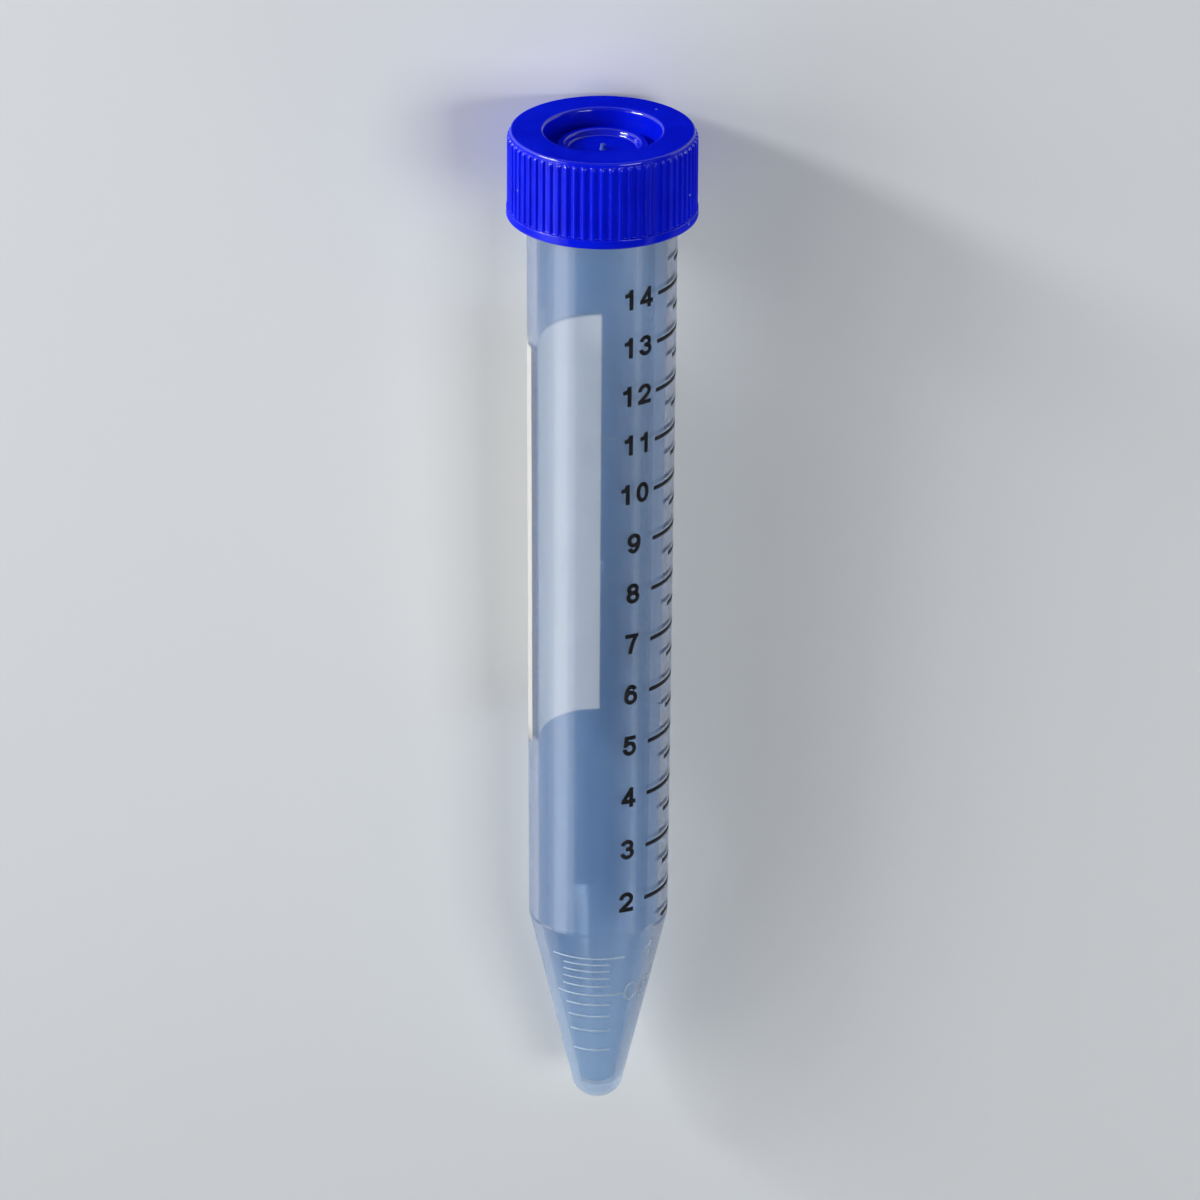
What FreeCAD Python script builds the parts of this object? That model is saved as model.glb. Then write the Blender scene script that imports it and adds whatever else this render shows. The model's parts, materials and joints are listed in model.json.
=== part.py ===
# 15 ml conical centrifuge tube with its screw cap, lying on its side.
# Row frame, in millimetres: +Z up, +Y along the tube towards the cap, +X to the side.
# The origin is under the middle of the object, on the surface that it lies on.
# The tube is a drafted shell with a conical end. The cap is one moulding with its plug seal.
# Each is drawn upright on its own axis, and both are then laid down together.
import FreeCAD, Part
import math
import os
import Sketcher

doc = FreeCAD.newDocument("ConicalTube")

# Driving sizes: diameters, heights and walls, each of which can be set by itself.
driving_sizes = {
    # the whole
    "overall_length": 120.0,
    "seat_gap": 0.05,
    "lying_turn": 24.3,
    # the tube
    "shoulder_dia": 17.0,
    "shoulder_drop": 0.6,
    "body_draft": 0.55,
    "junction_height": 23.6,
    "tip_dia": 4.8,
    "tip_round": 2.75,
    "widest_round_share": 0.97,
    "wall": 1.1,
    "floor_thickness": 2.0,
    "bore_tip_round": 1.6,
    "neck_step": 0.2,
    "rim_wall": 0.85,
    "rim_bevel": 0.25,
    "mouth_depth": 5.5,
    # the cap, outside
    "cap_height": 10.2,
    "thread_space": 1.2,
    "skirt_wall": 0.95,
    "flange_stand": 0.35,
    "flange_height": 1.1,
    "flange_foot_bevel": 0.25,
    "top_edge_bevel": 0.3,
    "rib_count": 64,
    "rib_foot_width": 0.66,
    "rib_crest_width": 0.3,
    "rib_stand": 0.27,
    "rib_root": 0.15,
    "rib_drop": 0.55,
    # the well in the top of the cap
    "plug_wall": 0.72,
    "well_depth": 3.6,
    "well_draft": 0.45,
    "lip_bevel": 0.35,
    "groove_width": 1.1,
    "bead_width": 0.9,
    "bead_drop": 1.6,
    "bead_bevel": 0.3,
    "dish_drop": 2.3,
    "gate_foot_dia": 0.75,
    "gate_tip_dia": 0.45,
    "gate_stand": 0.6,
    "gate_root": 0.2,
    # the cap, inside
    "top_wall": 1.55,
    "web": 1.0,
    "plug_clearance": 0.08,
    "plug_lead": 0.7,
    "plug_lead_in": 0.35,
    "skirt_lead": 0.35,
}

# Radii and heights that follow from the driving sizes, so that neck, plug, skirt and well stay fitted.
fitted_sizes = {
    "shoulder_radius": "=shoulder_dia / 2",
    "junction_radius": "=shoulder_radius - body_draft",
    "tip_radius": "=tip_dia / 2",
    "neck_radius": "=shoulder_radius - neck_step",
    "mouth_radius": "=neck_radius - rim_wall",
    "cone_slope": "=(junction_radius - tip_radius) / junction_height",
    "widest_round": "=widest_round_share * tan(45deg + atan(cone_slope) / 2)",
    "fitted_tip_round": "=min(tip_round; widest_round * tip_radius)",
    "bore_shoulder_radius": "=shoulder_radius - wall",
    "bore_junction_radius": "=junction_radius - wall",
    "bore_tip_radius": "=tip_radius + cone_slope * floor_thickness - wall",
    "fitted_bore_tip_round": "=min(bore_tip_round; widest_round * bore_tip_radius)",
    "plug_radius": "=mouth_radius - plug_clearance",
    "plug_lead_radius": "=plug_radius - plug_lead_in",
    "lip_radius": "=plug_radius - plug_wall",
    "well_radius": "=lip_radius - well_draft",
    "disc_radius": "=well_radius - groove_width",
    "dish_radius": "=disc_radius - bead_width",
    "skirt_radius": "=neck_radius + thread_space",
    "skirt_lead_radius": "=skirt_radius + skirt_lead",
    "barrel_radius": "=skirt_radius + skirt_wall",
    "flange_radius": "=barrel_radius + flange_stand",
    "rib_root_radius": "=barrel_radius - rib_root",
    "rib_crest_radius": "=barrel_radius + rib_stand",
    "cap_foot_height": "=overall_length - cap_height",
    "rim_height": "=overall_length - top_wall - seat_gap",
    "shoulder_height": "=cap_foot_height - shoulder_drop",
    "mouth_floor_height": "=rim_height - mouth_depth",
    "ceiling_height": "=cap_height - top_wall",
    "well_floor_height": "=cap_height - well_depth",
    "bead_height": "=cap_height - bead_drop",
    "dish_height": "=cap_height - dish_drop",
    "disc_underside_height": "=dish_height - web",
    "plug_foot_height": "=well_floor_height - web",
    "plug_lead_height": "=plug_foot_height + plug_lead",
    "rib_foot_height": "=flange_height / 2",
    "rib_top_height": "=cap_height - rib_drop",
}

sheet = doc.addObject("Spreadsheet::Sheet", "Sizes")
for row, (name, value) in enumerate({**driving_sizes, **fitted_sizes}.items(), start=1):
    sheet.set(f"A{row}", name)
    sheet.set(f"B{row}", str(value))
    sheet.setAlias(f"B{row}", name)
doc.recompute()

# Sketcher's numbers for its own axes and for the points of an edge.
H_AXIS = -1
V_AXIS = -2
START = 1
END = 2


def size(name):
    """The value of one named size."""
    return float(sheet.get(name))


def origin_feature(body, role):
    """A body's own origin plane or axis."""
    for feature in body.Origin.OriginFeatures:
        if feature.Role == role:
            return feature
    raise RuntimeError(f"{body.Label} has no {role}")


def new_body(label):
    body = doc.addObject("PartDesign::Body", label)
    body.Label = label
    return body


def upright_sketch(body, name):
    """A sketch on the body's XZ plane, where x is a radius and y is a height."""
    sketch = body.newObject("Sketcher::SketchObject", name)
    sketch.AttachmentSupport = [(origin_feature(body, "XZ_Plane"), "")]
    sketch.MapMode = "FlatFace"
    return sketch


def tie(sketch, kind, edge, point, name):
    """Holds a point of an edge at a named size from the origin, along x or y."""
    value = size(name)
    index = sketch.addConstraint(Sketcher.Constraint(kind, H_AXIS, START, edge, point, value))
    sketch.setExpression(f"Constraints[{index}]", f"Sizes.{name}")


def hold(sketch, edge, point, radius, height):
    """Places a point by the names of its radius and height. None puts it on that axis."""
    if radius is None:
        sketch.addConstraint(Sketcher.Constraint("PointOnObject", edge, point, V_AXIS))
    else:
        tie(sketch, "DistanceX", edge, point, radius)
    if height is None:
        sketch.addConstraint(Sketcher.Constraint("PointOnObject", edge, point, H_AXIS))
    else:
        tie(sketch, "DistanceY", edge, point, height)


def at(radius, height):
    """The sketch point with these named sizes."""
    x = 0 if radius is None else size(radius)
    y = 0 if height is None else size(height)
    return FreeCAD.Vector(x, y, 0)


def closed_outline(sketch, corners):
    """Draws straight sides through the corners, each corner held by its named radius and height."""
    count = len(corners)
    points = [at(radius, height) for radius, height in corners]
    for side in range(count):
        following = (side + 1) % count
        sketch.addGeometry(Part.LineSegment(points[side], points[following]), False)
    for side in range(count):
        following = (side + 1) % count
        sketch.addConstraint(Sketcher.Constraint("Coincident", side, END, following, START))
    for side, (radius, height) in enumerate(corners):
        hold(sketch, side, START, radius, height)


def revolve(body, sketch, name):
    """Turns a sketch once round its own vertical axis."""
    turned = body.newObject("PartDesign::Revolution", name)
    turned.Profile = sketch
    turned.ReferenceAxis = (sketch, ["V_Axis"])
    turned.Angle = 360
    doc.recompute()
    return turned


def ring_edges(feature, rings):
    """The names of the circular edges with these named radii and heights. A height of None is the foot."""
    near = 0.01
    found = []
    for radius, height in rings:
        wanted = at(radius, height)
        for number, edge in enumerate(feature.Shape.Edges, start=1):
            curve = edge.Curve
            if curve.TypeId != "Part::GeomCircle":
                continue
            if abs(curve.Radius - wanted.x) < near and abs(curve.Center.z - wanted.y) < near:
                found.append(f"Edge{number}")
    if len(found) != len(rings):
        raise RuntimeError(f"{feature.Label}: {len(rings)} rings wanted and {len(found)} found")
    return found


def round_rings(body, base, name, radius, rings):
    """Rounds circular edges of a feature by a named radius."""
    fillet = body.newObject("PartDesign::Fillet", name)
    fillet.Base = (base, ring_edges(base, rings))
    fillet.setExpression("Radius", f"Sizes.{radius}")
    doc.recompute()
    body.Tip = fillet
    return fillet


def bevel_rings(body, base, name, width, rings):
    """Bevels circular edges of a feature by a named width."""
    chamfer = body.newObject("PartDesign::Chamfer", name)
    chamfer.Base = (base, ring_edges(base, rings))
    chamfer.setExpression("Size", f"Sizes.{width}")
    doc.recompute()
    body.Tip = chamfer
    return chamfer


def make_tube():
    """The moulded tube: conical end, drafted body, neck for the thread and a parallel mouth for the plug."""
    body = new_body("tube")
    sketch = upright_sketch(body, "tube_section")
    closed_outline(
        sketch,
        [
            (None, None),
            ("tip_radius", None),
            ("junction_radius", "junction_height"),
            ("shoulder_radius", "shoulder_height"),
            ("neck_radius", "shoulder_height"),
            ("neck_radius", "rim_height"),
            ("mouth_radius", "rim_height"),
            ("mouth_radius", "mouth_floor_height"),
            ("bore_shoulder_radius", "shoulder_height"),
            ("bore_junction_radius", "junction_height"),
            ("bore_tip_radius", "floor_thickness"),
            (None, "floor_thickness"),
        ],
    )
    shell = revolve(body, sketch, "tube_shell")
    shell = round_rings(body, shell, "tip_rounding", "fitted_tip_round", [("tip_radius", None)])
    bore_tip = [("bore_tip_radius", "floor_thickness")]
    shell = round_rings(body, shell, "bore_tip_rounding", "fitted_bore_tip_round", bore_tip)
    rim = [("neck_radius", "rim_height"), ("mouth_radius", "rim_height")]
    bevel_rings(body, shell, "rim_bevel", "rim_bevel", rim)
    return body


def make_cap():
    """The moulded cap: ribbed skirt with a plain flange, plug seal, and the dished disc in its well."""
    body = new_body("cap")
    sketch = upright_sketch(body, "cap_section")
    closed_outline(
        sketch,
        [
            ("skirt_lead_radius", None),
            ("flange_radius", None),
            ("flange_radius", "flange_height"),
            ("barrel_radius", "flange_height"),
            ("barrel_radius", "cap_height"),
            ("lip_radius", "cap_height"),
            ("well_radius", "well_floor_height"),
            ("disc_radius", "well_floor_height"),
            ("disc_radius", "bead_height"),
            ("dish_radius", "bead_height"),
            ("dish_radius", "dish_height"),
            (None, "dish_height"),
            (None, "disc_underside_height"),
            ("dish_radius", "disc_underside_height"),
            ("dish_radius", "plug_foot_height"),
            ("plug_lead_radius", "plug_foot_height"),
            ("plug_radius", "plug_lead_height"),
            ("plug_radius", "ceiling_height"),
            ("skirt_radius", "ceiling_height"),
            ("skirt_radius", "skirt_lead"),
        ],
    )
    cap = revolve(body, sketch, "cap_moulding")
    cap = bevel_rings(body, cap, "flange_foot_edge", "flange_foot_bevel", [("flange_radius", None)])
    cap = bevel_rings(body, cap, "top_edge", "top_edge_bevel", [("barrel_radius", "cap_height")])
    lip = [("lip_radius", "cap_height")]
    cap = bevel_rings(body, cap, "well_lip", "lip_bevel", lip)
    bead = [("disc_radius", "bead_height"), ("dish_radius", "bead_height")]
    cap = bevel_rings(body, cap, "disc_bead", "bead_bevel", bead)
    add_ribs(body)
    add_gate(body)
    return body


def add_ribs(body):
    """One rib with sloping flanks, standing on the flange and repeated round the skirt."""
    sketch = body.newObject("Sketcher::SketchObject", "rib_section")
    sketch.AttachmentSupport = [(origin_feature(body, "XY_Plane"), "")]
    sketch.MapMode = "FlatFace"
    sketch.setExpression("AttachmentOffset.Base.z", "Sizes.rib_foot_height")
    half_foot = size("rib_foot_width") / 2
    half_crest = size("rib_crest_width") / 2
    inner = size("rib_root_radius")
    outer = size("rib_crest_radius")
    corners = [(inner, -half_foot), (outer, -half_crest), (outer, half_crest), (inner, half_foot)]
    points = [FreeCAD.Vector(x, y, 0) for x, y in corners]
    count = len(points)
    for side in range(count):
        sketch.addGeometry(Part.LineSegment(points[side], points[(side + 1) % count]), False)
    for side in range(count):
        sketch.addConstraint(Sketcher.Constraint("Coincident", side, END, (side + 1) % count, START))
    sketch.addConstraint(Sketcher.Constraint("Symmetric", 0, START, 3, START, H_AXIS))
    sketch.addConstraint(Sketcher.Constraint("Symmetric", 1, START, 2, START, H_AXIS))
    tie(sketch, "DistanceX", 0, START, "rib_root_radius")
    tie(sketch, "DistanceX", 1, START, "rib_crest_radius")
    foot_width = sketch.addConstraint(Sketcher.Constraint("DistanceY", 0, START, 3, START, 2 * half_foot))
    sketch.setExpression(f"Constraints[{foot_width}]", "Sizes.rib_foot_width")
    crest_width = sketch.addConstraint(Sketcher.Constraint("DistanceY", 1, START, 2, START, 2 * half_crest))
    sketch.setExpression(f"Constraints[{crest_width}]", "Sizes.rib_crest_width")
    rib = body.newObject("PartDesign::Pad", "rib")
    rib.Profile = sketch
    rib.setExpression("Length", "Sizes.rib_top_height - Sizes.rib_foot_height")
    doc.recompute()
    ribs = body.newObject("PartDesign::PolarPattern", "ribs")
    ribs.Originals = [rib]
    ribs.Axis = (origin_feature(body, "Z_Axis"), [""])
    ribs.Angle = 360
    ribs.setExpression("Occurrences", "Sizes.rib_count")
    body.Tip = ribs
    doc.recompute()


def add_gate(body):
    """The small broken-off stub that the injection point leaves in the middle of the dish."""
    stub = body.newObject("PartDesign::AdditiveCone", "gate_stub")
    stub.AttachmentSupport = [(origin_feature(body, "XY_Plane"), "")]
    stub.MapMode = "FlatFace"
    stub.setExpression("AttachmentOffset.Base.z", "Sizes.dish_height - Sizes.gate_root")
    stub.setExpression("Radius1", "Sizes.gate_foot_dia / 2")
    stub.setExpression("Radius2", "Sizes.gate_tip_dia / 2")
    stub.setExpression("Height", "Sizes.gate_stand + Sizes.gate_root")
    body.Tip = stub
    doc.recompute()


def resting_place():
    """Lays the upright object down, turned about its own axis as it came to rest. It lies on the
    foot of the cap's flange and on the edge where the cone begins, so it rises towards the cap."""
    flange_edge_x = size("flange_radius")
    flange_edge_z = size("cap_foot_height") + size("flange_foot_bevel")
    cone_edge_x = size("junction_radius")
    cone_edge_z = size("junction_height")
    slope = math.atan2(flange_edge_x - cone_edge_x, flange_edge_z - cone_edge_z)
    lift = cone_edge_x * math.cos(slope) - cone_edge_z * math.sin(slope)

    top_edge_x = size("barrel_radius") - size("top_edge_bevel")
    far_end = size("overall_length") * math.cos(slope) + top_edge_x * math.sin(slope)
    tip_round = size("fitted_tip_round")
    near_end = tip_round * math.cos(slope) - tip_round
    back = (far_end + near_end) / 2

    fall = FreeCAD.Rotation(FreeCAD.Vector(1, 0, 0), math.degrees(slope) - 90)
    roll = FreeCAD.Rotation(FreeCAD.Vector(0, 0, 1), size("lying_turn"))
    return FreeCAD.Placement(FreeCAD.Vector(0, -back, lift), fall * roll)


def check_and_write(bodies):
    """Stops on any failed feature or bad solid, and then writes one file for each body."""
    for feature in doc.Objects:
        if "Invalid" in feature.State or "Error" in feature.State:
            raise RuntimeError(f"{feature.Label} failed: {feature.State}")
    for body in bodies:
        if body.Shape.isNull() or not body.Shape.isValid() or len(body.Shape.Solids) != 1:
            raise RuntimeError(f"{body.Label} is not one sound solid")
    os.makedirs("parts", exist_ok=True)
    for body in bodies:
        body.Shape.exportStep(f"parts/{body.Label}.step")
        box = body.Shape.BoundBox
        print(body.Label, round(body.Shape.Volume, 2), "mm3", box)


tube = make_tube()
cap = make_cap()
laid_down = resting_place()
tube.Placement = laid_down
on_the_tube = FreeCAD.Placement(FreeCAD.Vector(0, 0, size("cap_foot_height")), FreeCAD.Rotation())
cap.Placement = laid_down * on_the_tube
doc.recompute()
check_and_write([tube, cap])
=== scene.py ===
import json
import math

import bmesh
import bpy
from mathutils import Matrix, Vector


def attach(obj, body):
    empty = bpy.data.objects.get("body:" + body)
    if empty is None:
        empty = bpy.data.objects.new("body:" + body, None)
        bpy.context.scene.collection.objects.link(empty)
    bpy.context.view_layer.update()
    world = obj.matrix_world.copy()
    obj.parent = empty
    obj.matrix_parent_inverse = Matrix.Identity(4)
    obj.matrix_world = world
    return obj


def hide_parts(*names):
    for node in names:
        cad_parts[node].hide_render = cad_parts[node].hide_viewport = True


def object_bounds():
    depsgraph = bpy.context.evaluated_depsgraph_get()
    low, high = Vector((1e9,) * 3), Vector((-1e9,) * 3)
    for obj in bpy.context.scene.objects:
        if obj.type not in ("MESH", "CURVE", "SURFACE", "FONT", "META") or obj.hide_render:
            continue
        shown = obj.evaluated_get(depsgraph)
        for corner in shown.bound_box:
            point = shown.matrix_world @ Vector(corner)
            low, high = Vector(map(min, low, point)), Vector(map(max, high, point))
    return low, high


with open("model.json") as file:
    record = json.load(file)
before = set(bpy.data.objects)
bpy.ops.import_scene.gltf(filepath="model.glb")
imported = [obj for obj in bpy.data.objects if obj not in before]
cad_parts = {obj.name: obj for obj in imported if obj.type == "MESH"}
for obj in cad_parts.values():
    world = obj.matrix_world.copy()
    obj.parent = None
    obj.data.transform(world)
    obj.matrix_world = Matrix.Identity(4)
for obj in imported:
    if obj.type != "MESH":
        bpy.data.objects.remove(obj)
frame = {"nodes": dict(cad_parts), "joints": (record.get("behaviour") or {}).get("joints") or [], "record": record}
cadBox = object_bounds()
scene = bpy.context.scene
mm = 0.001

# The tube's own axes: x to the side, z from the tip to the cap, and -y up from the bench.
capLift = next(joint for joint in frame["joints"] if joint["name"] == "cap_lift")
capLand = next(mount for mount in frame["record"]["mounts"] if mount["name"] == "cap_land")
landUp = 8.5  # how far above the axis the land's own point is
tubeLength = 120.0

alongTube = Vector(capLift["axis"]).normalized()
aside = Vector((1, 0, 0))
upFromBench = aside.cross(alongTube)
tipPoint = Vector(capLand["pos_m"]) - upFromBench * landUp * mm - alongTube * tubeLength * mm
laid = Matrix((aside, -upFromBench, alongTube)).transposed().to_4x4()
laid.translation = tipPoint
print("frame: tip at", [round(v / mm, 3) for v in tipPoint])


# Turned shapes. A chain is a list of (radius, height) in millimetres, and an angle round the tube
# runs from its upper side towards +X.

nothing = 1e-6  # a shorter length than this counts as none
weldWithin = 1e-5
flatFaceWeight = 60


def roundedChain(corners, step=11):
    # corners are (radius, height) or (radius, height, rounding); step is in degrees
    chain = []
    for i, corner in enumerate(corners):
        here = Vector(corner[:2])
        rounding = corner[2] if len(corner) > 2 else 0
        if rounding == 0 or i in (0, len(corners) - 1):
            chain.append((here.x, here.y))
            continue
        back = (Vector(corners[i - 1][:2]) - here).normalized()
        onward = (Vector(corners[i + 1][:2]) - here).normalized()
        half = back.angle(onward) / 2
        centre = here + (back + onward).normalized() * rounding / math.sin(half)
        spoke = here + back * rounding / math.tan(half) - centre
        sweep = math.pi - 2 * half
        if back.x * onward.y - back.y * onward.x > 0:
            sweep = -sweep
        count = max(2, math.ceil(abs(math.degrees(sweep)) / step))
        for k in range(count + 1):
            turned = Matrix.Rotation(sweep * k / count, 2) @ spoke
            chain.append((centre.x + turned.x, centre.y + turned.y))
    return chain


def roundPoint(radius, angle, height):
    return (radius * math.sin(angle), -radius * math.cos(angle), height)


def addRing(bm, radius, height, angles):
    if radius < nothing:
        return [bm.verts.new((0, 0, height))]
    return [bm.verts.new(roundPoint(radius, a, height)) for a in angles]


def bridgeRings(bm, first, second):
    # joins two rings of the same count, or a ring and a pole
    count = max(len(first), len(second))
    for i in range(count):
        j = (i + 1) % count
        if len(first) == 1:
            bm.faces.new((first[0], second[j], second[i]))
        elif len(second) == 1:
            bm.faces.new((first[i], first[j], second[0]))
        else:
            bm.faces.new((first[i], first[j], second[j], second[i]))


def stitchColumns(bm, columns, closed=False):
    # joins neighbouring columns of the same count
    onward = columns[1:] + columns[:1] if closed else columns[1:]
    for first, second in zip(columns, onward):
        for k in range(len(first) - 1):
            bm.faces.new((first[k], second[k], second[k + 1], first[k + 1]))


def evenAngles(count):
    return [2 * math.pi * i / count for i in range(count)]


def turnChain(bm, chain, count):
    rings = [addRing(bm, r, z, evenAngles(count)) for r, z in chain]
    for first, second in zip(rings, rings[1:]):
        bridgeRings(bm, first, second)
    return rings


def makePiece(bm, name, body, material, weighted=True):
    bmesh.ops.remove_doubles(bm, verts=bm.verts, dist=weldWithin)
    bmesh.ops.recalc_face_normals(bm, faces=bm.faces)
    for face in bm.faces:
        face.smooth = True
    mesh = bpy.data.meshes.new(name)
    bm.to_mesh(mesh)
    bm.free()
    mesh.transform(laid @ Matrix.Scale(mm, 4))
    mesh.materials.append(material)
    piece = bpy.data.objects.new(name, mesh)
    scene.collection.objects.link(piece)
    if weighted:  # lets the flats stay flat between rounded edges
        even = piece.modifiers.new("evenShading", "WEIGHTED_NORMAL")
        even.mode = "FACE_AREA"
        even.weight = flatFaceWeight
        even.keep_sharp = False
    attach(piece, body)
    return piece


# Node helpers. A value that is itself a socket is wired in, and any other value is set.

def feed(tree, node, values):
    for label, value in values.items():
        if isinstance(value, bpy.types.NodeSocket):
            tree.links.new(value, node.inputs[label])
        else:
            node.inputs[label].default_value = value


def addNode(tree, kind, settings=None, values=None):
    node = tree.nodes.new(kind)
    for label, value in (settings or {}).items():
        setattr(node, label, value)
    feed(tree, node, values or {})
    return node


def addMath(tree, operation, *values):
    node = addNode(tree, "ShaderNodeMath", {"operation": operation}, dict(enumerate(values)))
    return node.outputs["Value"]


def newGroup(name, inputs, result):
    # the inputs are numbers with their usual values, and a place comes in ahead of them
    group = bpy.data.node_groups.new(name, "ShaderNodeTree")
    group.interface.new_socket("Vector", in_out="INPUT", socket_type="NodeSocketVector")
    for label, value in inputs.items():
        socket = group.interface.new_socket(label, in_out="INPUT", socket_type="NodeSocketFloat")
        socket.default_value = value
    group.interface.new_socket(result, in_out="OUTPUT", socket_type="NodeSocketFloat")
    given = group.nodes.new("NodeGroupInput").outputs
    end = group.nodes.new("NodeGroupOutput")
    return group, given, end


# Shader node groups: each gives a value that changes over the surface.

def flowGroup():
    # long soft streaks, as melt leaves them along a moulding
    usual = {"Scale": 300.0, "Stretch": 0.1, "Low": 0.35, "High": 0.65}
    group, given, end = newGroup("mouldFlow", usual, "Flow")
    squeeze = addNode(group, "ShaderNodeCombineXYZ", values={"X": 1.0, "Y": 1.0, "Z": given["Stretch"]})
    scaled = addNode(group, "ShaderNodeVectorMath", {"operation": "MULTIPLY"}, {
        0: given["Vector"], 1: squeeze.outputs["Vector"],
    })
    noise = addNode(group, "ShaderNodeTexNoise", values={
        "Vector": scaled.outputs["Vector"], "Scale": given["Scale"], "Detail": 4.0, "Roughness": 0.55,
    })
    ramp = addNode(group, "ShaderNodeMapRange", {"interpolation_type": "SMOOTHSTEP"}, {
        "Value": noise.outputs["Fac"], "From Min": given["Low"], "From Max": given["High"],
    })
    feed(group, end, {"Flow": ramp.outputs["Result"]})
    return group


def grainGroup():
    # the fine orange peel of a moulded or printed surface, as a height
    usual = {"Scale": 2500.0, "Coarse Share": 0.4}
    coarseStep = 0.22  # the coarse noise's scale over the fine one's
    group, given, end = newGroup("fineGrain", usual, "Height")
    fine = addNode(group, "ShaderNodeTexNoise", values={
        "Vector": given["Vector"], "Scale": given["Scale"], "Detail": 3.0, "Roughness": 0.6,
    })
    coarse = addNode(group, "ShaderNodeTexNoise", values={
        "Vector": given["Vector"], "Scale": addMath(group, "MULTIPLY", given["Scale"], coarseStep),
        "Detail": 2.0,
    })
    blend = addNode(group, "ShaderNodeMix", {"data_type": "FLOAT"}, {
        "Factor": given["Coarse Share"], "A": fine.outputs["Fac"], "B": coarse.outputs["Fac"],
    })
    feed(group, end, {"Height": blend.outputs["Result"]})
    return group


def speckGroup():
    # small scattered specks of dust and lint
    usual = {"Scale": 700.0, "Size": 0.12, "Share": 0.2}
    group, given, end = newGroup("dustSpecks", usual, "Speck")
    cells = addNode(group, "ShaderNodeTexVoronoi", {"feature": "F1"}, {
        "Vector": given["Vector"], "Scale": given["Scale"],
    })
    pick = addNode(group, "ShaderNodeSeparateColor", values={"Color": cells.outputs["Color"]})
    near = addMath(group, "LESS_THAN", cells.outputs["Distance"], given["Size"])
    chosen = addMath(group, "LESS_THAN", pick.outputs["Red"], given["Share"])
    feed(group, end, {"Speck": addMath(group, "MULTIPLY", near, chosen)})
    return group


def scratchGroup():
    # sparse fine handling scratches: thin bands of warped noise, kept only in patches
    usual = {"Scale": 120.0, "Width": 0.012, "Patch Scale": 90.0, "Patch Limit": 0.58}
    bandMiddle = 0.5
    group, given, end = newGroup("fineScratches", usual, "Scratch")
    lean = addNode(group, "ShaderNodeMapping", values={
        "Vector": given["Vector"], "Rotation": (0.5, 0.3, 0.9), "Scale": (1.0, 0.16, 1.0),
    })
    noise = addNode(group, "ShaderNodeTexNoise", values={
        "Vector": lean.outputs["Vector"], "Scale": given["Scale"], "Detail": 1.0, "Distortion": 0.4,
    })
    patch = addNode(group, "ShaderNodeTexNoise", values={
        "Vector": given["Vector"], "Scale": given["Patch Scale"], "Detail": 1.0,
    })
    offset = addMath(group, "SUBTRACT", noise.outputs["Fac"], bandMiddle)
    thin = addMath(group, "LESS_THAN", addMath(group, "ABSOLUTE", offset), given["Width"])
    kept = addMath(group, "GREATER_THAN", patch.outputs["Fac"], given["Patch Limit"])
    feed(group, end, {"Scratch": addMath(group, "MULTIPLY", thin, kept)})
    return group


mouldFlow = flowGroup()
fineGrain = grainGroup()
dustSpecks = speckGroup()
fineScratches = scratchGroup()

oneWall = 1.5  # between the counts of one wall passed and of two
colourA, colourB, colourOut = 6, 7, 2  # the Mix node's own places for colours


def newMaterial(name, constants):
    # constants go straight on to the Principled BSDF's own sockets
    material = bpy.data.materials.new(name)
    material.use_nodes = True
    tree = material.node_tree
    tree.nodes.clear()
    shader = addNode(tree, "ShaderNodeBsdfPrincipled", values=constants)
    addNode(tree, "ShaderNodeOutputMaterial", values={"Surface": shader.outputs["BSDF"]})
    here = addNode(tree, "ShaderNodeTexCoord")
    upright = addNode(tree, "ShaderNodeMapping", values={  # the tube's own axes, from its tip
        "Vector": here.outputs["Object"],
        "Rotation": laid.inverted().to_euler(),
        "Location": laid.inverted().translation,
    })
    return material, tree, shader, upright.outputs["Vector"]


def useGroup(tree, group, vector, values):
    node = addNode(tree, "ShaderNodeGroup", {"node_tree": group}, {"Vector": vector, **values})
    return node.outputs[0]


def mixColours(tree, factor, first, second):
    # first and second are colours or sockets
    values = {"Factor": factor, colourA: first, colourB: second}
    for label, value in values.items():
        if isinstance(value, tuple):
            values[label] = (*value, 1.0)
    return addNode(tree, "ShaderNodeMix", {"data_type": "RGBA"}, values).outputs[colourOut]


def spread(tree, value, low, high):
    span = addNode(tree, "ShaderNodeMapRange", values={"Value": value, "To Min": low, "To Max": high})
    return span.outputs["Result"]


def addBump(tree, shader, height, strength, distance):
    bump = addNode(tree, "ShaderNodeBump", values={
        "Height": height, "Strength": strength, "Distance": distance,
    })
    feed(tree, shader, {"Normal": bump.outputs["Normal"]})


def letLampsThrough(tree, surface, near, far):
    # lamps reach what stands behind a clear wall, and less of them what is behind a second one
    path = addNode(tree, "ShaderNodeLightPath").outputs
    first = addMath(tree, "LESS_THAN", path["Transparent Depth"], oneWall)
    colour = mixColours(tree, first, far, near)
    clear = addNode(tree, "ShaderNodeBsdfTransparent", values={"Color": colour})
    output = next(node for node in tree.nodes if node.type == "OUTPUT_MATERIAL")
    mix = addNode(tree, "ShaderNodeMixShader", values={
        "Fac": path["Is Shadow Ray"], 1: surface, 2: clear.outputs["BSDF"],
    })
    feed(tree, output, {"Surface": mix.outputs["Shader"]})


# The printed patch to write on: angles round the tube from its upper side towards +X, and heights
# from the tip. The wall under it is whitened from whitenFrom below the axis downwards.
patchSizes = {
    "start": 180.0, "end": 290.0, "foot": 45.85, "top": 94.65, "turns": 64, "rows": 24,
    "sunk": 0.006, "stand": 0.016, "whitenFrom": -0.5, "behindWall": (0.99, 0.95, 0.85),
}

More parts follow.
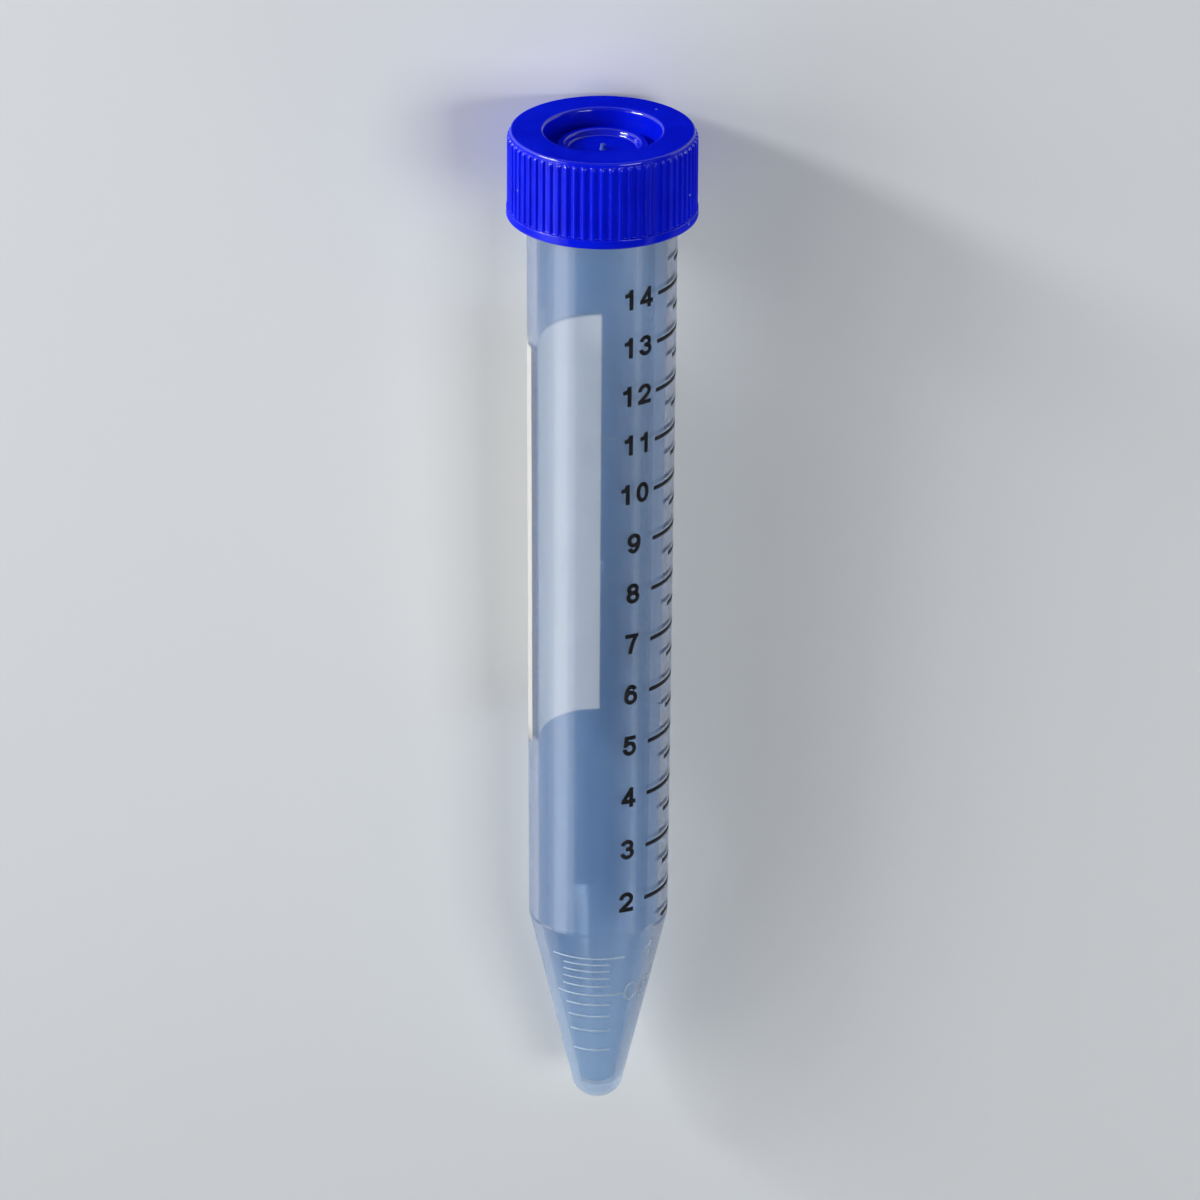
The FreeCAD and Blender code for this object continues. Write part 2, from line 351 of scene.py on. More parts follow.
tubeFinish = {
    "clear": (0.90, 0.89, 0.885),
    "clearCone": (0.66, 0.74, 0.86),
    "shadedBeyond": (0.42, 0.53, 0.64),  # painted shade: what is seen through a second wall is darkened, standing in for the tube's shadow on the bench below
    "hazeDeep": (0.06, 0.20, 0.53),
    "hazePale": (0.11, 0.27, 0.60),
    "hazeTip": (0.38, 0.54, 0.75),  # the cone is thicker, so it is milkier
    "coneStart": 27.0,
    "coneEnd": 9.0,
    "hazeShare": 0.14,
    "coneShare": 0.235,
    "scratchShare": 0.16,
    "printShare": 0.97,  # how much of the patch's white shows through the wall behind it
    "scratchColour": (0.80, 0.86, 0.93),
    "nearShadow": (0.97, 0.965, 0.96),
    "farShadow": (0.06, 0.065, 0.07),
    "ior": 1.49,
    "roughLow": 0.05,
    "roughHigh": 0.09,
    "satinLow": 0.34,
    "satinHigh": 0.42,
    "sheen": {"Specular IOR Level": 0.04, "Coat Weight": 0.34, "Coat Roughness": 0.34, "Coat IOR": 1.5},
    "flow": {"Scale": 420.0, "Stretch": 0.06},
    "clouds": {"Scale": 160.0, "Stretch": 0.5, "Low": 0.3, "High": 0.7},
    "scratches": {"Scale": 260.0, "Width": 0.004, "Patch Scale": 150.0, "Patch Limit": 0.66},
    "grain": {"Scale": 1800.0, "Coarse Share": 0.6},
    "bump": (0.12, 0.00004),  # strength and depth
}


def printedWall(tree, parts, p):
    # 1 where the wall under the patch is whitened, all on the side away from +X
    side = addMath(tree, "LESS_THAN", parts["X"], 0.0)
    below = addMath(tree, "GREATER_THAN", parts["Y"], p["whitenFrom"] * mm)
    middle = (p["top"] + p["foot"]) / 2 * mm
    reach = (p["top"] - p["foot"]) / 2 * mm
    level = addMath(tree, "COMPARE", parts["Z"], middle, reach)
    return addMath(tree, "MULTIPLY", addMath(tree, "MULTIPLY", side, below), level)


def tubePlasticMaterial(values):
    # clear plastic with a blue haze in it: two shaders with the same grain, mixed by the haze's share
    material, tree, haze, place = newMaterial("hazyPolypropylene", {"IOR": values["ior"]})
    clear = addNode(tree, "ShaderNodeBsdfPrincipled", values={
        "Transmission Weight": 1.0, "IOR": values["ior"], **values["sheen"],
    })
    path = addNode(tree, "ShaderNodeLightPath").outputs
    # painted shade: past the near wall the clear part takes a darker colour, so the bench seen through both walls
    # looks shaded
    farWall = addMath(tree, "GREATER_THAN", path["Transmission Depth"], oneWall)
    flow = useGroup(tree, mouldFlow, place, values["flow"])
    clouds = useGroup(tree, mouldFlow, place, values["clouds"])
    scratches = useGroup(tree, fineScratches, place, values["scratches"])
    grain = useGroup(tree, fineGrain, place, values["grain"])
    parts = addNode(tree, "ShaderNodeSeparateXYZ", values={"Vector": place}).outputs
    printed = printedWall(tree, parts, patchSizes)
    cone = addNode(tree, "ShaderNodeMapRange", {"interpolation_type": "SMOOTHSTEP"}, {
        "Value": parts["Z"], "From Min": values["coneStart"] * mm, "From Max": values["coneEnd"] * mm,
    }).outputs["Result"]
    near = mixColours(tree, cone, values["clear"], values["clearCone"])
    feed(tree, clear, {"Base Color": mixColours(tree, farWall, near, values["shadedBeyond"])})
    milky = mixColours(tree, flow, values["hazeDeep"], values["hazePale"])
    thick = mixColours(tree, cone, milky, values["hazeTip"])
    scratched = mixColours(tree, scratches, thick, values["scratchColour"])
    feed(tree, haze, {"Base Color": mixColours(tree, printed, scratched, patchSizes["behindWall"])})
    for shader, low, high in ((clear, "roughLow", "roughHigh"), (haze, "satinLow", "satinHigh")):
        feed(tree, shader, {"Roughness": spread(tree, clouds, values[low], values[high])})
        addBump(tree, shader, grain, *values["bump"])
    share = spread(tree, cone, values["hazeShare"], values["coneShare"])
    for mask, level in ((scratches, "scratchShare"), (printed, "printShare")):
        share = addMath(tree, "MAXIMUM", addMath(tree, "MULTIPLY", mask, values[level]), share)
    wall = addNode(tree, "ShaderNodeMixShader", values={
        "Fac": share, 1: clear.outputs["BSDF"], 2: haze.outputs["BSDF"],
    })
    letLampsThrough(tree, wall.outputs["Shader"], values["nearShadow"], values["farShadow"])
    return material


capFinish = {
    "shader": {"IOR": 1.51, "Specular IOR Level": 0.0, "Coat Roughness": 0.09, "Coat IOR": 2.0},
    "blue": (0.002, 0.012, 0.84),
    "deepBlue": (0.001, 0.007, 0.72),
    "speckColour": (0.16, 0.24, 0.90),
    "roughLow": 0.24,
    "roughHigh": 0.32,
    # the coat's weight by how far the surface faces along the axis: side, edges and flat end
    "gloss": [(0.0, 0.12), (0.12, 0.16), (0.3, 0.85), (0.86, 0.85), (0.985, 0.012)],
    "flow": {"Scale": 260.0, "Stretch": 0.6, "Low": 0.3, "High": 0.7},
    "clouds": {"Scale": 700.0, "Stretch": 1.0, "Low": 0.3, "High": 0.7},
    "specks": {"Scale": 520.0, "Size": 0.08, "Share": 0.14},
    "grain": {"Scale": 2600.0, "Coarse Share": 0.5},
    "bump": (0.18, 0.00005),
}


def capPlasticMaterial(values):
    material, tree, shader, place = newMaterial("ultramarinePolyethylene", values["shader"])
    flow = useGroup(tree, mouldFlow, place, values["flow"])
    clouds = useGroup(tree, mouldFlow, place, values["clouds"])
    specks = useGroup(tree, dustSpecks, place, values["specks"])
    grain = useGroup(tree, fineGrain, place, values["grain"])
    blue = mixColours(tree, flow, values["blue"], values["deepBlue"])
    addBump(tree, shader, grain, *values["bump"])
    normal = addNode(tree, "ShaderNodeTexCoord").outputs["Normal"]
    facing = addNode(tree, "ShaderNodeVectorMath", {"operation": "DOT_PRODUCT"}, {
        0: normal, 1: alongTube,
    })
    either = addMath(tree, "ABSOLUTE", facing.outputs["Value"])
    gloss = addNode(tree, "ShaderNodeValToRGB", values={"Fac": either})
    steps = gloss.color_ramp.elements
    while len(steps) < len(values["gloss"]):
        steps.new(0.5)
    for step, (position, weight) in zip(steps, values["gloss"]):
        step.position = position
        step.color = (weight, weight, weight, 1.0)
    feed(tree, shader, {
        "Base Color": mixColours(tree, specks, blue, values["speckColour"]),
        "Roughness": spread(tree, clouds, values["roughLow"], values["roughHigh"]),
        "Coat Weight": gloss.outputs["Color"],
    })
    return material


# Plainer finishes: a tone that wanders between two colours, and a fine tooth where there is a grain
inkShader = {"IOR": 1.5, "Specular IOR Level": 0.08}
inkTone = {"Scale": 900.0, "Stretch": 0.5, "Low": 0.35, "High": 0.75}
inkGrain = {"Scale": 4200.0, "Coarse Share": 0.3}
inkBump = (0.25, 0.00003)
plainFinishes = {
    "whiteInk": {
        "shader": inkShader, "tone": inkTone, "grain": inkGrain, "bump": inkBump,
        "colours": ((0.66, 0.635, 0.60), (0.61, 0.59, 0.56)), "rough": (0.45, 0.56),
    },
    "blackInk": {
        "shader": inkShader, "tone": inkTone, "grain": inkGrain, "bump": inkBump,
        "colours": ((0.012, 0.012, 0.014), (0.03, 0.03, 0.034)), "rough": (0.35, 0.46),
    },
    "raisedMarksPaintedHighlight": {  # painted highlight: paler and less clear than the wall, standing in for the light that the raised edges catch
        "shader": {"Transmission Weight": 0.1, "IOR": 1.49},
        "tone": {"Scale": 1200.0, "Stretch": 1.0, "Low": 0.3, "High": 0.7},
        "colours": ((0.67, 0.75, 0.83), (0.52, 0.62, 0.74)), "rough": (0.25, 0.4),
    },
    "tornGate": {  # torn plastic, stressed to a pale blue
        "shader": {"Specular IOR Level": 0.2},
        "tone": {"Scale": 2600.0, "Stretch": 1.0, "Low": 0.3, "High": 0.7},
        "grain": {"Scale": 6000.0, "Coarse Share": 0.5}, "bump": (0.6, 0.00005),
        "colours": ((0.03, 0.06, 0.52), (0.13, 0.21, 0.66)), "rough": (0.35, 0.55),
    },
}


def plainMaterial(name, finish):
    material, tree, shader, place = newMaterial(name, finish["shader"])
    tone = useGroup(tree, mouldFlow, place, finish["tone"])
    feed(tree, shader, {
        "Base Color": mixColours(tree, tone, *finish["colours"]),
        "Roughness": spread(tree, tone, *finish["rough"]),
    })
    if "grain" in finish:
        addBump(tree, shader, useGroup(tree, fineGrain, place, finish["grain"]), *finish["bump"])
    return material


tubePlastic = tubePlasticMaterial(tubeFinish)
capPlastic = capPlasticMaterial(capFinish)
plain = {name: plainMaterial(name, finish) for name, finish in plainFinishes.items()}
for slotted, material in (("tube", tubePlastic), ("cap", capPlastic)):
    node = frame["nodes"][slotted]
    node.data.materials.clear()
    node.data.materials.append(material)
print("materials: done")


# The tube shell

tubeSizes = {
    "columns": 256,
    "tipRadius": 2.4,
    "tipRound": 2.75,
    "junctionRadius": 7.95,
    "junctionHeight": 23.6,
    "junctionRound": 0.35,
    "shoulderRadius": 8.5,
    "shoulderHeight": 109.2,
    "shoulderRound": 0.12,
    "seatRound": 0.08,
    "neckRadius": 8.3,
    "rimHeight": 118.4,
    "rimRound": 0.25,
    "mouthRadius": 7.45,
    "mouthFloor": 112.9,
    "wall": 1.1,
    "floor": 2.0,
    "boreTipRound": 1.6,
    "boreRound": 0.5,
    "gateRadius": 0.55,
    "gateDepth": 0.1,
    "gateFloor": 0.7,  # shares of the gate's radius, of its depth and of the tip's own rise
    "gateSlope": 0.86,
    "gateSlopeDepth": 0.8,
    "gateEdge": 0.5,
}


def tubeOutside(s):
    return roundedChain([
        (0, 0),
        (s["tipRadius"], 0, s["tipRound"]),
        (s["junctionRadius"], s["junctionHeight"], s["junctionRound"]),
        (s["shoulderRadius"], s["shoulderHeight"], s["shoulderRound"]),
        (s["neckRadius"], s["shoulderHeight"], s["seatRound"]),
        (s["neckRadius"], s["rimHeight"], s["rimRound"]),
        ((s["neckRadius"] + s["mouthRadius"]) / 2, s["rimHeight"]),
    ])


def tubeBore(s):
    slope = (s["junctionRadius"] - s["tipRadius"]) / s["junctionHeight"]
    tip = s["tipRadius"] + slope * s["floor"] - s["wall"]
    return roundedChain([
        (0, s["floor"]),
        (tip, s["floor"], s["boreTipRound"]),
        (s["junctionRadius"] - s["wall"], s["junctionHeight"], s["boreRound"]),
        (s["shoulderRadius"] - s["wall"], s["shoulderHeight"], s["boreRound"]),
        (s["mouthRadius"], s["mouthFloor"], s["boreRound"]),
        (s["mouthRadius"], s["rimHeight"], s["rimRound"]),
        ((s["neckRadius"] + s["mouthRadius"]) / 2, s["rimHeight"]),
    ])


def radiusAt(chain, height):
    for (r0, z0), (r1, z1) in zip(chain, chain[1:]):
        if z1 > z0 and z0 <= height <= z1:
            return r0 + (r1 - r0) * (height - z0) / (z1 - z0)
    raise ValueError("no radius at this height")


def makeTube(s):
    outside = tubeOutside(s)
    gate, depth = s["gateRadius"], s["gateDepth"]
    edge = next(z for r, z in outside if r >= gate)
    recess = [
        (0, depth),
        (gate * s["gateFloor"], depth),
        (gate * s["gateSlope"], depth * s["gateSlopeDepth"]),
        (gate, edge * s["gateEdge"]),
    ]
    outside = recess + [point for point in outside if point[0] > gate]
    bm = bmesh.new()
    turnChain(bm, outside + list(reversed(tubeBore(s)))[1:], s["columns"])
    shell = makePiece(bm, "tube_shell", "tube", tubePlastic)
    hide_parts("tube")
    return shell


makeTube(tubeSizes)
outsideWall = tubeOutside(tubeSizes)
boreWall = tubeBore(tubeSizes)
print("tube shell: done")


# The cap moulding. Heights are from the cap's own foot.

capSizes = {
    "foot": 109.8,
    "height": 10.2,
    "flangeRadius": 10.8,
    "flangeHeight": 1.1,
    "flangeFootRound": 0.25,
    "flangeTopRound": 0.07,
    "barrelRadius": 10.45,
    "topRound": 0.3,
    "ribs": 64,
    "ribStand": 0.27,
    "ribTop": 9.65,
    "ribDome": 0.32,
    "ribFootFillet": 0.14,
    "ribHalfFoot": 0.33,
    "ribHalfCrest": 0.13,
    "ribFlankSteps": 3,
    "ribFilletLoss": 0.92,  # how much smaller the fillet is under a full rib
    "domeSteps": (0.3, 0.55, 0.75, 0.9, 1.0),
    "domeGap": 0.04,
    "footLand": 0.6,  # flats that stand out or in from the skirt's bore
    "topLand": 0.1,
    "wellLand": 0.3,
    "innerColumns": 256,
    "lipRadius": 6.65,
    "lipRound": 0.4,
    "wellRadius": 6.2,
    "wellFloor": 6.6,
    "wellRound": 0.3,
    "discRadius": 5.1,
    "discFootRound": 0.25,
    "beadTop": 8.6,
    "beadRound": 0.4,
    "dishRadius": 4.2,
    "dishHeight": 7.9,
    "dishSag": 0.12,
    "dishLean": 0.25,
    "dishRound": 0.3,
    "sagAcross": 0.55,  # shares of the dish's radius and of its sag
    "sagDown": 0.7,
    "sagRound": 2.0,
    "discUnderside": 6.9,
    "plugFoot": 5.6,
    "plugFootRound": 0.15,
    "plugRadius": 7.37,
    "plugLeadRadius": 7.02,
    "plugLead": 0.7,
    "plugRound": 0.4,
    "plugTopRound": 0.25,
    "ceiling": 8.65,
    "ceilingRound": 0.4,
    "skirtRadius": 9.5,
    "skirtLead": 0.35,
    "leadRound": 0.2,
    "leadFootRound": 0.08,
    "leadLand": 0.12,
}


def capSide(c, share):
    # the outline from the foot to the land, in a column where a rib stands by this share of its height
    barrel = c["barrelRadius"]
    wall = barrel + c["ribStand"] * share
    fillet = c["ribFootFillet"] * (1 - c["ribFilletLoss"] * share)
    chain = roundedChain([
        (c["skirtRadius"] + c["footLand"], 0),
        (c["flangeRadius"], 0, c["flangeFootRound"]),
        (c["flangeRadius"], c["flangeHeight"], c["flangeTopRound"]),
        (wall, c["flangeHeight"], fillet),
        (wall, c["ribTop"] - c["ribDome"]),
    ], step=15)
    for up in c["domeSteps"]:
        standing = math.sqrt(max(0.0, 1 - up * up))
        chain.append((barrel + (wall - barrel) * standing, c["ribTop"] - c["ribDome"] * (1 - up)))
    return chain + roundedChain([
        (barrel, c["ribTop"] + c["domeGap"]),
        (barrel, c["height"], c["topRound"]),
        (c["skirtRadius"] + c["topLand"], c["height"]),
    ], step=12)


def ribColumns(c):
    # angle and rib share of each column of one rib and the valley after it
    pitch = 2 * math.pi * c["barrelRadius"] / c["ribs"]
    foot, crest, steps = c["ribHalfFoot"], c["ribHalfCrest"], c["ribFlankSteps"]
    flank = [crest + (foot - crest) * k / steps for k in range(steps + 1)]
    across = [0.0] + flank + [(foot + pitch / 2) / 2, pitch / 2]
    across += [pitch - x for x in reversed(across[1:-1])]
    columns = []
    for x in across:
        inward = min(x, pitch - x)
        up = min(1.0, max(0.0, (foot - inward) / (foot - crest)))
        columns.append((x / c["barrelRadius"], up * up * (3 - 2 * up)))
    return columns


def capInside(c):
    dish = c["dishHeight"]
    return roundedChain([
        (c["skirtRadius"] - c["wellLand"], c["height"]),
        (c["lipRadius"], c["height"], c["lipRound"]),
        (c["wellRadius"], c["wellFloor"], c["wellRound"]),
        (c["discRadius"], c["wellFloor"], c["discFootRound"]),
        (c["discRadius"], c["beadTop"], c["beadRound"]),
        (c["dishRadius"], c["beadTop"], c["beadRound"]),
        (c["dishRadius"] - c["dishLean"], dish, c["dishRound"]),
        (c["dishRadius"] * c["sagAcross"], dish - c["dishSag"] * c["sagDown"], c["sagRound"]),
        (0, dish - c["dishSag"]),
    ])


def capUnderside(c):
    return roundedChain([
        (0, c["discUnderside"]),
        (c["dishRadius"], c["discUnderside"], c["dishRound"]),
        (c["dishRadius"], c["plugFoot"], c["plugFootRound"]),
        (c["plugLeadRadius"], c["plugFoot"], c["plugFootRound"]),
        (c["plugRadius"], c["plugFoot"] + c["plugLead"], c["plugRound"]),
        (c["plugRadius"], c["ceiling"], c["plugTopRound"]),
        (c["skirtRadius"], c["ceiling"], c["ceilingRound"]),
        (c["skirtRadius"], c["skirtLead"], c["leadRound"]),
        (c["skirtRadius"] + c["skirtLead"], 0, c["leadFootRound"]),
        (c["skirtRadius"] + c["skirtLead"] + c["leadLand"], 0),
    ])


def joinThreeToOne(bm, outer, inner):
    # both rings lie on the same flat
    share = len(outer) // len(inner)
    for i in range(len(inner)):
        run = [outer[(share * i + k) % len(outer)] for k in range(share + 1)]
        bm.faces.new(run + [inner[(i + 1) % len(inner)], inner[i]])


def makeCap(c):
    bm = bmesh.new()
    columns = ribColumns(c)
    pitch = 2 * math.pi / c["ribs"]
    chains = [capSide(c, share) for _, share in columns]
    side = []
    for rib in range(c["ribs"]):
        for (angle, _), chain in zip(columns, chains):
            turn = rib * pitch + angle
            side.append([bm.verts.new(roundPoint(r, turn, c["foot"] + z)) for r, z in chain])
    stitchColumns(bm, side, closed=True)
    lifted = [(r, z + c["foot"]) for r, z in capInside(c)]
    well = turnChain(bm, lifted, c["innerColumns"])
    lifted = [(r, z + c["foot"]) for r, z in capUnderside(c)]
    under = turnChain(bm, lifted, c["innerColumns"])
    joinThreeToOne(bm, [column[-1] for column in side], well[0])
    joinThreeToOne(bm, [column[0] for column in side], under[-1])
    moulding = makePiece(bm, "cap_moulding", "cap", capPlastic)
    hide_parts("cap")
    return moulding


makeCap(capSizes)
print("cap moulding: done")


# Threads: one ridge each, which fades in and out

neckThread = {
    "root": 8.3, "stand": 0.65, "pitch": 3.0, "start": 111.7, "turns": 1.6,
    "halfFoot": 0.62, "halfCrest": 0.2, "fade": 40, "phase": 20,
}
skirtThread = {
    "root": 9.5, "stand": -0.45, "pitch": 3.0, "start": 111.9, "turns": 1.6,
    "halfFoot": 0.5, "halfCrest": 0.16, "fade": 40, "phase": 200,
}
threadShape = {
    "perTurn": 96, "sunk": 0.08,
    "footShare": 0.96, "browDrop": 0.12, "browShare": 1.25, "crestShare": 0.8,
}
fullTurn = 360


def makeThread(t, name, body, material):
    bm = bmesh.new()
    shape = threadShape
    count = round(t["turns"] * shape["perTurn"])
    sunk = -math.copysign(shape["sunk"], t["stand"])
    rings = []
    for i in range(count + 1):
        degrees = i * fullTurn * t["turns"] / count
        inward = min(degrees, fullTurn * t["turns"] - degrees)
        up = min(1.0, inward / t["fade"])
        full = math.sin(up * math.pi / 2)
        middle = t["start"] + t["pitch"] * degrees / fullTurn
        turn = math.radians(t["phase"] + degrees)
        crest = t["root"] + t["stand"] * full + sunk * (1 - full)
        brow = crest - t["stand"] * shape["browDrop"] * full
        half = [
            (t["root"] + sunk, t["halfFoot"]),
            (t["root"], t["halfFoot"] * shape["footShare"]),
            (brow, t["halfCrest"] * shape["browShare"]),
            (crest, t["halfCrest"] * shape["crestShare"]),
        ]
        section = [(r, -z) for r, z in half] + half[::-1]
        rings.append([bm.verts.new(roundPoint(r, turn, middle + z)) for r, z in section])
    for first, second in zip(rings, rings[1:]):
        bridgeRings(bm, first, second)
    bm.faces.new(rings[0])
    bm.faces.new(rings[-1])
    return makePiece(bm, name, body, material)


makeThread(neckThread, "neck_thread", "tube", tubePlastic)
makeThread(skirtThread, "skirt_thread", "cap", capPlastic)
print("threads: done")


# The gate stub in the middle of the dish

stubSizes = {
    "foot": 0.36, "height": 0.6, "columns": 40, "sunk": 0.1, "lean": 0.06, "slant": 0.16,
    "slantTurn": 0.8, "hollow": 0.86,
    "waves": [(0.1, 3, 1), (0.07, 5, 0)],  # share, count and turn
    # width and level, as shares of the foot's radius and of the height
    "levels": [(1.1, 0.02), (0.98, 0.08), (0.92, 0.3), (0.86, 0.6), (0.8, 0.88), (0.5, 1.0)],
    "rootWidth": 1.2,
}


def makeStub(s):
    bm = bmesh.new()
    base = capSizes["foot"] + capSizes["dishHeight"] - capSizes["dishSag"]
    stand = s["height"] + capSizes["dishSag"]
    rings = [[bm.verts.new((0, 0, base - s["sunk"]))]]
    for width, level in [(s["rootWidth"], -s["sunk"])] + s["levels"]:
        ring = []
        above = max(0, level)
        for turn in evenAngles(s["columns"]):
            torn = 1
            for share, waves, ahead in s["waves"]:
                torn += share * level * math.sin(waves * turn + ahead)
            cut = s["slant"] * above * (1 + math.sin(turn + s["slantTurn"])) / 2
            height = level * stand * (1 - cut)
            x, y, z = roundPoint(s["foot"] * width * torn, turn, base + height)
            ring.append(bm.verts.new((x + s["lean"] * above, y, z)))
        rings.append(ring)
    rings.append([bm.verts.new((s["lean"], 0, base + stand * s["hollow"]))])
    for first, second in zip(rings, rings[1:]):
        bridgeRings(bm, first, second)
    return makePiece(bm, "gate_stub", "cap", plain["tornGate"])


makeStub(stubSizes)
print("gate stub: done")


# Marks on the wall. A mark's place is an angle round the tube and a height along it. Its own strokes
# are (across, up) in millimetres.

strokeStep = 0.2
mitreLimit = 0.6
laterLift = 0.0015  # a digit's later stroke lies this much above the one before
inkEdges = {"sunk": 0.006, "stand": 0.014}
ridgeEdges = {"sunk": 0.02, "flank": 0.46, "flankUp": 0.35, "brow": 0.28, "browUp": 0.88}


def onWall(angle, height, lift):
    return roundPoint(radiusAt(outsideWall, height) + lift, angle, height)


def resample(path, step):
    dense = [path[0]]
    for first, second in zip(path, path[1:]):
        count = max(1, math.ceil((Vector(second) - Vector(first)).length / step))
        for k in range(1, count + 1):
            dense.append(tuple(Vector(first).lerp(Vector(second), k / count)))
    return dense


def addStroke(bm, path, section, place, closed=False):
    # sweeps a section of (side, lift) points along a path of (across, up) points
    middleAngle, middleHeight = place
    radius = radiusAt(outsideWall, middleHeight)
    points = resample(path + [path[0]] if closed else path, strokeStep)
    if closed:
        points = points[:-1]
    count = len(points)
    rings = []
    for i, point in enumerate(points):
        before = points[i - 1] if closed or i > 0 else point
        after = points[(i + 1) % count] if closed or i < count - 1 else point
        into = Vector(point) - Vector(before)
        out = Vector(after) - Vector(point)
        into = into.normalized() if into.length > nothing else out.normalized()
        out = out.normalized() if out.length > nothing else into
        along = (into + out).normalized()
        side = Vector((along.y, -along.x)) / max(mitreLimit, along.dot(out))
        ring = []
        for offset, lift in section:
            spot = Vector(point) + side * offset
            angle = middleAngle + spot.x / radius
            ring.append(bm.verts.new(onWall(angle, middleHeight + spot.y, lift)))
        rings.append(ring)
    for first, second in zip(rings, rings[1:]):
        bridgeRings(bm, first, second)
    if closed:
        bridgeRings(bm, rings[-1], rings[0])
    else:
        bm.faces.new(rings[0])
        bm.faces.new(rings[-1])


def inkSection(width):
    half, sunk, stand = width / 2, -inkEdges["sunk"], inkEdges["stand"]
    return [(-half, sunk), (half, sunk), (half, stand), (-half, stand)]


def ridgeSection(width, stand):
    r = ridgeEdges
    half = [
        (width / 2, -r["sunk"]),
        (width * r["flank"], stand * r["flankUp"]),
        (width * r["brow"], stand * r["browUp"]),
    ]
    return [(-half[0][0], half[0][1])] + half + [(0.0, stand)] + [(-x, z) for x, z in half[:0:-1]]


# Digits as centre lines in a box one wide and one high

bowStep = 12  # degrees
glideSteps = 8


def bow(x, y, rx, ry, start, end, power=1.0):
    # part of an oval from one angle to another; a power under 1 makes it squarer
    count = max(4, math.ceil(abs(end - start) / bowStep))
    points = []
    for k in range(count + 1):
        a = math.radians(start + (end - start) * k / count)
        across, up = math.cos(a), math.sin(a)
        points.append((
            x + rx * math.copysign(abs(across) ** power, across),
            y + ry * math.copysign(abs(up) ** power, up),
        ))
    return points


def glide(start, pull, end):
    # a curve from start to end, drawn towards the pull
    first, middle, last = Vector(start), Vector(pull), Vector(end)
    points = []
    for k in range(glideSteps + 1):
        t = k / glideSteps
        points.append(tuple(first.lerp(middle, t).lerp(middle.lerp(last, t), t)))
    return points


def digitStrokes(digit):
    # each stroke is (points, closed, how many half widths it runs on at its start and its end)
    loop = bow(0.5, 0.5, 0.5, 0.5, 0, 360, 0.92)[:-1]
    six = [
        (bow(0.5, 0.31, 0.5, 0.31, 0, 360, 0.95)[:-1], True, 0, 0),
        (bow(0.53, 0.74, 0.44, 0.26, 18, 90) + bow(0.53, 0.36, 0.53, 0.64, 96, 180), False, 0.3, 0),
    ]
    strokes = {
        "0": [(loop, True, 0, 0)],
        "1": [
            ([(1.0, 1.0), (1.0, 0.0)], False, 1, 1),
            (glide((0.0, 0.755), (0.78, 0.77), (0.94, 1.0)), False, 0.5, 0.6),
        ],
        "2": [
            (bow(0.5, 0.71, 0.5, 0.29, 182, -28) + glide((0.9, 0.54), (0.66, 0.37), (0.36, 0.22))
             + [(0.12, 0.08), (0.02, 0.0)], False, 0.3, 0),
            ([(0.0, 0.0), (1.0, 0.0)], False, 1, 1),
        ],
        "3": [
            (bow(0.48, 0.76, 0.46, 0.24, 172, -90) + [(0.32, 0.52)], False, 0.3, 0),
            ([(0.32, 0.53)] + bow(0.48, 0.265, 0.52, 0.265, 90, -174), False, 0, 0.3),
        ],
        "4": [
            ([(0.76, 1.0), (0.76, 0.0)], False, 1, 1),
            ([(0.74, 1.0), (0.0, 0.27)], False, 0.3, 0),
            ([(0.0, 0.24), (1.0, 0.24)], False, 1, 1),
        ],
        "5": [
            ([(0.16, 1.0), (0.95, 1.0)], False, 1, 1),
            ([(0.16, 1.0), (0.05, 0.5)], False, 0, 0.6),
            (bow(0.48, 0.33, 0.52, 0.33, 148, -172), False, 0, 0.3),
        ],
        "6": six,
        "7": [
            ([(0.0, 1.0), (1.0, 1.0)], False, 1, 1),
            (glide((1.0, 1.0), (0.46, 0.52), (0.34, 0.0)), False, 0, 1),
        ],
        "8": [
            (bow(0.5, 0.765, 0.44, 0.235, 0, 360, 0.96)[:-1], True, 0, 0),
            (bow(0.5, 0.265, 0.5, 0.265, 0, 360, 0.96)[:-1], True, 0, 0),
        ],
        "9": [
            ([(1 - x, 1 - y) for x, y in points], closed, start, end)
            for points, closed, start, end in six
        ],
        ".": [([(0.5, 0.0), (0.5, 0.04)], False, 1, 0.6)],
    }
    return strokes[digit]


def runOn(points, reach, closed, start, end):
    if closed:
        return points
    first = Vector(points[0]) + (Vector(points[0]) - Vector(points[1])).normalized() * reach * start
    last = Vector(points[-1]) + (Vector(points[-1]) - Vector(points[-2])).normalized() * reach * end
    return [tuple(first)] + list(points[1:-1]) + [tuple(last)]


def addDigit(bm, digit, left, width, height, weight, section, place):
    # left is the glyph's own left edge, across from the place
    for level, (points, closed, start, end) in enumerate(digitStrokes(digit)):
        scaled = [
            (left + weight / 2 + x * (width - weight), weight / 2 + y * (height - weight) - height / 2)
            for x, y in points
        ]
        scaled = runOn(scaled, weight / 2, closed, start, end)
        lifted = [(side, lift + laterLift * level) for side, lift in section]
        addStroke(bm, scaled, lifted, place, closed)


# The volume scale follows the bore

millilitre = 1000  # cubic millimetres
halvings = 40


def volumeBelow(height):
    volume = 0.0
    for (r0, z0), (r1, z1) in zip(boreWall, boreWall[1:]):
        if z1 <= z0 or z0 >= height:
            continue
        top = min(z1, height)
        rTop = r0 + (r1 - r0) * (top - z0) / (z1 - z0)
        volume += math.pi * (top - z0) * (r0 * r0 + r0 * rTop + rTop * rTop) / 3
    return volume / millilitre


def heightOf(millilitres):
    low, high = tubeSizes["floor"], tubeSizes["shoulderHeight"]
    for _ in range(halvings):
        middle = (low + high) / 2
        if volumeBelow(middle) < millilitres:
            low = middle
        else:
            high = middle
    return low


